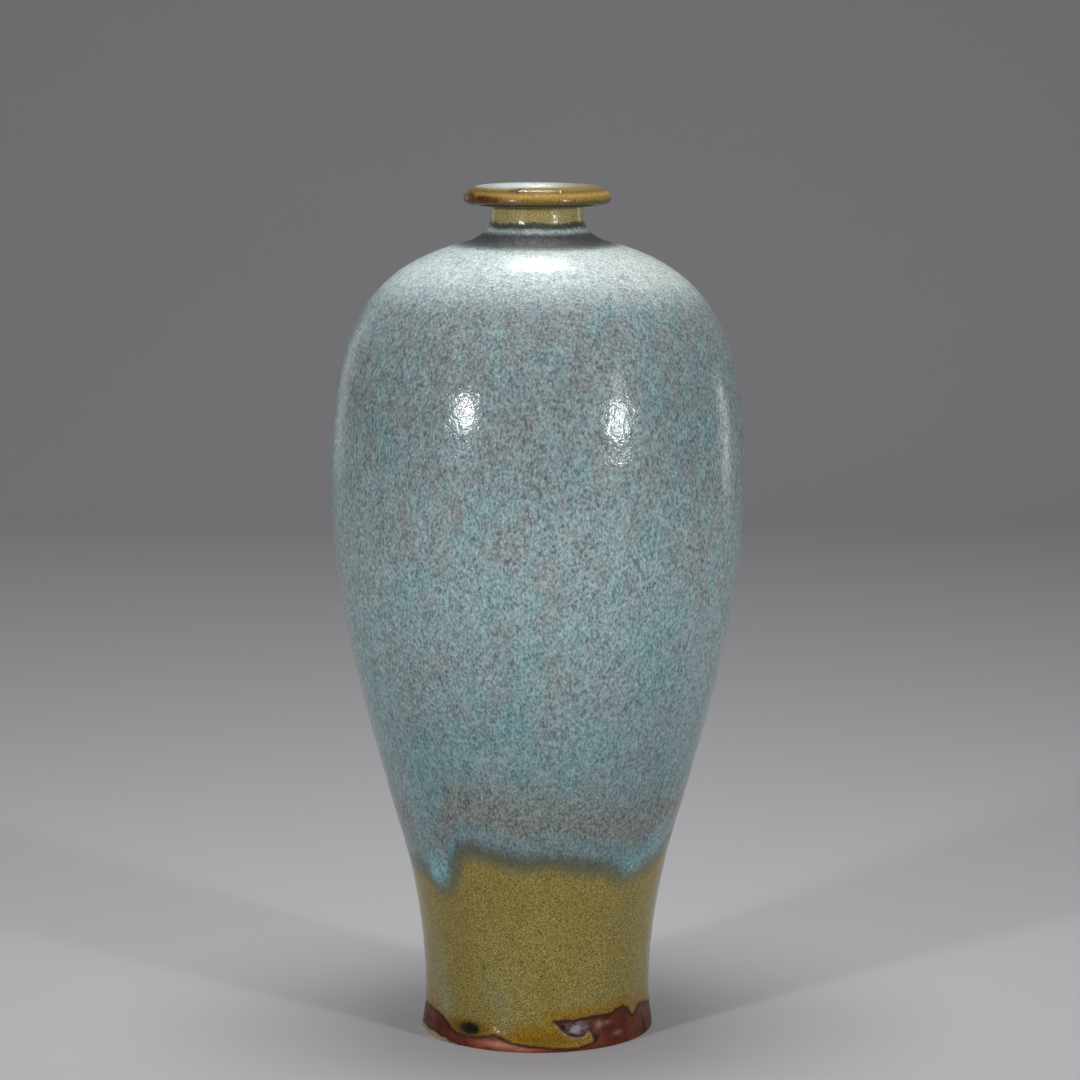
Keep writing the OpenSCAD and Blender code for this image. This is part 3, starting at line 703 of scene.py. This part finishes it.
def blue_places(n, blue):
    """What the blue glaze shows above its edge, in its pools, on the shoulder, where light from above is
    partly painted, and round the neck's root, where the lip's shadow is painted.
    """
    tone, low_in, pool = n.tone, n.low_in, n.pool
    from_above = n.remap(low_in, 18.0, 36.0, 1.0, 0.0, True)
    thin = n.math("MULTIPLY", from_above, n.remap(low_in, 8.0, 15.0, 0.0, 1.0, True))
    thin = n.math("SUBTRACT", thin, n.math("MULTIPLY", pool, 1.1), True)
    sandy = n.between(tone, 0.1, 0.95, paint(62, 62, 58), paint(160, 157, 146))
    blue = n.mix(n.math("MULTIPLY", thin, 0.62), blue, sandy)
    brim = n.math("SUBTRACT", n.remap(low_in, 1.0, 7.5, 1.0, 0.0, True), n.math("MULTIPLY", pool, 0.6), True)
    dusk = n.between(tone, 0.1, 0.95, paint(48, 56, 52), paint(98, 108, 100))
    blue = n.mix(n.math("MULTIPLY", brim, 0.85), blue, dusk)
    blue = n.mix(n.math("MULTIPLY", pool, 0.85, True), blue,
                 n.between(tone, 0.1, 0.95, paint(66, 108, 116), paint(158, 206, 210)))
    across = n.add("ShaderNodeSeparateXYZ", {0: n.place}, out="X")
    # The pale shoulder: pale glaze with painted light from above, bluer at the left and warmer at the right.
    pale = n.mark("pale")
    icy = n.mix(n.remap(across, -0.035, 0.045), paint(164, 194, 200), paint(182, 194, 190))
    ice = n.math("ADD", pale, n.math("MULTIPLY", pale, n.remap(tone, 0.1, 0.9, -0.35, 0.25)), True)
    blue = n.mix(n.math("MULTIPLY", ice, 0.92), blue,
                 n.between(tone, 0.15, 0.85, icy, paint(232, 239, 238)))
    # Painted shadow of the lip round the neck's root.
    blue = n.mix(n.math("MULTIPLY", n.mark("painted_lip_shadow"), 0.95, True), blue,
                 n.between(tone, 0.1, 0.95, paint(50, 55, 55), paint(104, 112, 111)))
    return blue


def joined(n, olive, blue):
    """The blue glaze over the olive one, grains first, with the lines and rings where they meet."""
    tone, blue_in, pool = n.tone, n.blue_in, n.pool
    ragged = n.math("ADD", blue_in, n.remap(n.grain, 0.25, 0.75, -1.8, 1.8))
    ragged = n.math("ADD", ragged, n.remap(n.fine, 0.25, 0.75, -1.4, 1.4))
    cover = n.remap(ragged, -4.6, 4.6, 0.0, 1.0, True)
    colour = n.mix(cover, olive, blue)
    torn = n.math("ADD", n.low_in, n.remap(n.mid, 0.25, 0.75, -1.5, 1.5))
    from_below = n.remap(torn, -5.0, 0.0, 0.0, 1.0, True)
    veil = n.math("MULTIPLY", from_below, n.remap(torn, 1.0, 6.5, 1.0, 0.0, True))
    veil = n.math("SUBTRACT", n.math("MULTIPLY", veil, 0.32), n.math("MULTIPLY", pool, 0.25), True)
    colour = n.mix(veil, colour, paint(64, 68, 56))
    collar = n.remap(blue_in, -3.0, -0.5, 0.0, 1.0, True)
    collar = n.math("MULTIPLY", collar, n.remap(blue_in, 2.6, 5.2, 1.0, 0.0, True))
    collar = n.math("MULTIPLY", collar, n.remap(n.height, 0.28, 0.281, 0.0, 0.8))
    colour = n.mix(collar, colour, paint(56, 62, 54))
    colour = n.mix(n.math("MULTIPLY", n.mark("ring"), 0.85, True), colour,
                   n.between(tone, 0.15, 0.85, paint(150, 170, 168), paint(226, 238, 235)))
    return n.mix(n.math("MULTIPLY", n.mark("throat"), 0.8), colour, paint(70, 58, 30))


def glaze(name):
    """Both outer coats share this, so the soft edge between them has no seam."""
    n = Nodes(name)
    shared_patterns(n)
    blue = blue_places(n, blue_ground(n))
    olive = olive_places(n, olive_ground(n))
    colour = joined(n, olive, blue)
    roughness = n.remap(n.noise(n.place, 2.4, 2.0, 0.5), 0.3, 0.7, 0.12, 0.22)
    fine_peel = n.math("MULTIPLY", n.noise(n.place, 0.65, 0.0, 0.5), 0.45)
    peel = n.math("ADD", n.noise(n.place, 1.7, 1.0, 0.4), fine_peel)
    peel = n.math("ADD", peel, n.math("MULTIPLY", n.noise(n.place, 6.5, 0.0, 0.5), 1.2))
    dull = n.math("MULTIPLY", n.remap(n.olive_in, 0.4, 1.8, 0.3, 0.0, True), n.remap(n.height, 0.02, 0.016))
    roughness = n.math("ADD", roughness, dull)
    roughness = n.math("ADD", roughness, n.math("MULTIPLY", n.mark("painted_lip_shadow"), 0.35))
    return n.finish(colour, roughness, peel, 0.4, 0.00022, IOR=1.46)


def bare_clay():
    n = Nodes("bare red-brown clay")
    olive_in, crater, under = n.mark("olive_in"), n.mark("crater"), n.mark("under")
    wash = n.noise(n.stretched(1, 1, 0.4), 6.0, 4.0, 0.6)
    grit = n.noise(n.place, 0.6, 2.0, 0.65)
    clay = n.between(wash, 0.35, 0.65, paint(58, 20, 6), paint(112, 48, 22))
    clay = n.mix(n.math("MULTIPLY", n.mark("fresh"), 0.75), clay,
                 n.between(wash, 0.35, 0.65, paint(128, 50, 22), paint(170, 84, 48)))
    # Painted highlights of the front lamps on the glossy clay.
    clay = n.mix(n.math("MULTIPLY", n.mark("painted_clay_glints"), 0.95, True), clay,
                 n.between(grit, 0.35, 0.65, paint(168, 96, 70), paint(222, 176, 158)))
    clay = n.mix(n.remap(grit, 0.3, 0.7, 0.0, 0.4), clay, paint(48, 20, 10))
    rubbed = n.remap(n.noise(n.stretched(0.5, 0.5, 3.0, 4.0), 4.0, 3.0, 0.6), 0.58, 0.75)
    clay = n.mix(n.math("MULTIPLY", rubbed, 0.2), clay, paint(160, 96, 66))
    veins = n.noise(n.stretched(1, 1, 1.0, 9.0), 2.6, 3.0, 0.65, 1.2)
    silver = n.between(veins, 0.4, 0.62, paint(36, 22, 24), paint(118, 104, 110))
    # The crater's middle is made paler: silvery glaze skin with a painted highlight of the front right lamp.
    silver = n.mix(n.remap(crater, 0.8, 1.0, 0.0, 0.45, True), silver, paint(186, 176, 180))
    clay = n.mix(n.remap(crater, 0.25, 0.6, 0.0, 0.95, True), clay, silver)
    blot = n.math("ADD", n.mark("smoky"), n.remap(veins, 0.2, 0.8, -0.2, 0.2))
    clay = n.mix(n.remap(blot, 0.25, 0.8, 0.0, 0.9, True), clay, paint(26, 14, 12))
    line = n.remap(n.math("ADD", olive_in, n.remap(wash, 0.2, 0.8, -0.5, 0.5)), -0.8, 0.0, 0.0, 1.0, True)
    clay = n.mix(n.math("MULTIPLY", line, 0.85), clay, paint(34, 18, 10))
    clay = n.mix(n.math("MULTIPLY", under, 0.35), clay, paint(150, 100, 70))
    roughness = n.remap(wash, 0.35, 0.65, 0.5, 0.34)
    height = n.math("ADD", grit, n.math("MULTIPLY", n.noise(n.stretched(0.3, 0.3, 2.2), 1.6, 1.0, 0.5), 1.2))
    height = n.math("ADD", height, n.math("MULTIPLY", n.noise(n.place, 3.5, 1.0, 0.5), 2.5))
    return n.finish(clay, roughness, height, 0.5, 0.00018, IOR=1.32)


def hidden_clay():
    n = Nodes("stoneware under the glaze")
    wash, grit = n.noise(n.place, 9.0, 3.0, 0.6), n.noise(n.place, 0.8, 2.0, 0.6)
    clay = n.between(wash, 0.35, 0.65, paint(112, 62, 42), paint(142, 86, 60))
    clay = n.mix(n.remap(grit, 0.3, 0.7, 0.0, 0.35), clay, paint(74, 38, 24))
    return n.finish(clay, n.remap(grit, 0.3, 0.7, 0.6, 0.8), grit, 0.4, 0.0002)


def slip():
    n = Nodes("luting slip")
    wet = n.noise(n.stretched(0.4, 0.4, 2.0), 3.0, 3.0, 0.6)
    colour = n.between(wet, 0.35, 0.65, paint(92, 56, 44), paint(116, 76, 60))
    return n.finish(colour, n.remap(wet, 0.3, 0.7, 0.7, 0.85), wet, 0.4, 0.0003)


def lining():
    n = Nodes("glaze inside")
    grain, broad = n.noise(n.place, 0.6, 2.0, 0.7), n.noise(n.stretched(1, 1, 0.4), 16.0, 2.0, 0.5)
    colour = n.between(grain, 0.3, 0.7, paint(74, 64, 34), paint(118, 108, 68))
    colour = n.mix(n.remap(broad, 0.4, 0.65, 0.0, 0.5), colour, paint(92, 100, 84))
    return n.finish(colour, n.remap(broad, 0.3, 0.7, 0.18, 0.32), grain, 0.3, 0.0001, IOR=1.5)


def dress(piece, material):
    piece.data.materials.clear()
    piece.data.materials.append(material)


dress(olive_coat, glaze("olive glaze"))
dress(blue_coat, glaze("blue glaze"))
dress(foot_clay, bare_clay())
for piece, node, name in ((olive_coat, "olive_glaze", "olive_glaze"),
                          (blue_coat, "blue_glaze", "blue_glaze"),
                          (foot_clay, "lower_body", "stoneware")):
    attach(piece, "root")
    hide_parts(node)
stoneware, seam, inner = hidden_clay(), slip(), lining()
for node, material in (("upper_body", stoneware), ("neck_and_lip", stoneware), ("body_seam_slip", seam),
                       ("neck_seam_slip", seam), ("inner_glaze", inner)):
    for material_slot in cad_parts[node].material_slots:
        material_slot.material = material

# Floor, light and camera
sweep = [(-3.0, 0.0), (1.3, 0.0)] + [(1.3 + 0.9 * math.sin(a), 0.9 - 0.9 * math.cos(a))
                                     for a in np.linspace(0.05, math.pi / 2, 24)] + [(2.2, 3.2)]
floor_mesh = bpy.data.meshes.new("floor")
floor_mesh.from_pydata([(x, y, z) for y, z in sweep for x in (-3.2, 3.2)], [],
                       [(2 * i, 2 * i + 1, 2 * i + 3, 2 * i + 2) for i in range(len(sweep) - 1)])
floor_mesh.polygons.foreach_set("use_smooth", [True] * len(floor_mesh.polygons))
floor = bpy.data.objects.new("floor", floor_mesh)
bpy.context.scene.collection.objects.link(floor)
floor_look = Nodes("pale floor")
grit = floor_look.noise(floor_look.place, 3.0)
dress(floor, floor_look.finish(paint(200, 200, 203), 0.85, grit, 0.05, 0.0003))


def panel(name, where, aim, size, power):
    """A lamp of a width and height, turned towards a place."""
    light = bpy.data.lights.new(name, "AREA")
    light.shape = "RECTANGLE"
    light.size, light.size_y = size
    light.energy = power
    lamp = bpy.data.objects.new(name, light)
    bpy.context.scene.collection.objects.link(lamp)
    lamp.location = where
    back = np.array(where) - np.array(aim)
    back = back / np.linalg.norm(back)
    side = np.cross((0, 0, 1), back)
    side = side / np.linalg.norm(side)
    up = np.cross(back, side)
    lamp.matrix_world = Matrix([(side[i], up[i], back[i], where[i]) for i in range(3)] + [(0, 0, 0, 1)])
    return lamp


def toward(spot_at, direction, distance):
    """A place in metres, at a distance in a direction from a spot given in mm."""
    return tuple(spot_at[i] * 0.001 + direction[i] * distance for i in range(3))


# Places on the vase in mm, front lamps' aim and lamps' distances in metres
left = (-27, -66, 234)
right = (29, -65, 232)
shoulder = (-1, -38, 276)
BODY_MIDDLE = (0, 0, 0.2)
BEHIND_WAY = 1.5
FRONT_WAY = 1.7
behind_at = toward(shoulder, (0, 0.574, 0.819), BEHIND_WAY)
behind = panel("behind and above", behind_at, (0, -0.04, 0.27), (0.32, 0.36), 4.2)
behind.data.use_shadow = False
behind.data.cycles.use_multiple_importance_sampling = False
overhead = panel("overhead", (0, 0.01, 0.76), (0, 0.0101, 0.2), (0.27, 0.27), 2.35)
overhead.visible_glossy = False
# Lamps that the glaze mirrors: name, the highlight's place, direction of the lamp from it, size, power
for name, spot_at, direction, size, power in (
        ("front left", left, (-0.646, -0.736, 0.200), (0.11, 0.032), 6.4),
        ("front left, lower", left, (-0.656, -0.75, 0.108), (0.08, 0.03), 1.2),
        ("front right, upper", right, (0.699, -0.638, 0.323), (0.14, 0.14), 0.7),
        ("front right", right, (0.705, -0.691, 0.158), (0.09, 0.03), 3.8),
        ("front right, lower", right, (0.699, -0.712, 0.080), (0.09, 0.03), 3.3)):
    panel(name, toward(spot_at, direction, FRONT_WAY), BODY_MIDDLE, size, power)
# Soft lamps that light the body but aren't mirrored
for name, spot_at, direction, power in (("soft left", left, (-0.646, -0.736, 0.2), 4.7),
                                        ("soft right", right, (0.705, -0.691, 0.12), 4.4)):
    lamp = panel(name, toward(spot_at, direction, FRONT_WAY), BODY_MIDDLE, (0.3, 0.3), power)
    lamp.visible_glossy = False
panel("left side", (-0.95, 1.25, 0.25), BODY_MIDDLE, (0.5, 0.8), 0.6)
panel("right side", (1.2, 0.86, 0.16), BODY_MIDDLE, (0.13, 0.45), 0.6)

world = bpy.context.scene.world or bpy.data.worlds.new("studio")
bpy.context.scene.world = world
world.use_nodes = True
backdrop = world.node_tree.nodes.get("Background")
backdrop.inputs[0].default_value = (1.0, 1.0, 1.0, 1)
backdrop.inputs[1].default_value = 0.06
bpy.context.scene.view_settings.view_transform = "Standard"

LENS_MM = 133.64
CAMERA_AT = (0.00092, -1.4, 0.37513)
CAMERA_DOWN = 8.13
camera_data = bpy.data.cameras.new("camera")
camera_data.lens = LENS_MM
camera_data.sensor_width = 36
camera_data.clip_end = 50
camera = bpy.data.objects.new("camera", camera_data)
bpy.context.scene.collection.objects.link(camera)
camera.location = CAMERA_AT
camera.rotation_euler = (math.radians(90 - CAMERA_DOWN), 0, 0)
bpy.context.scene.camera = camera
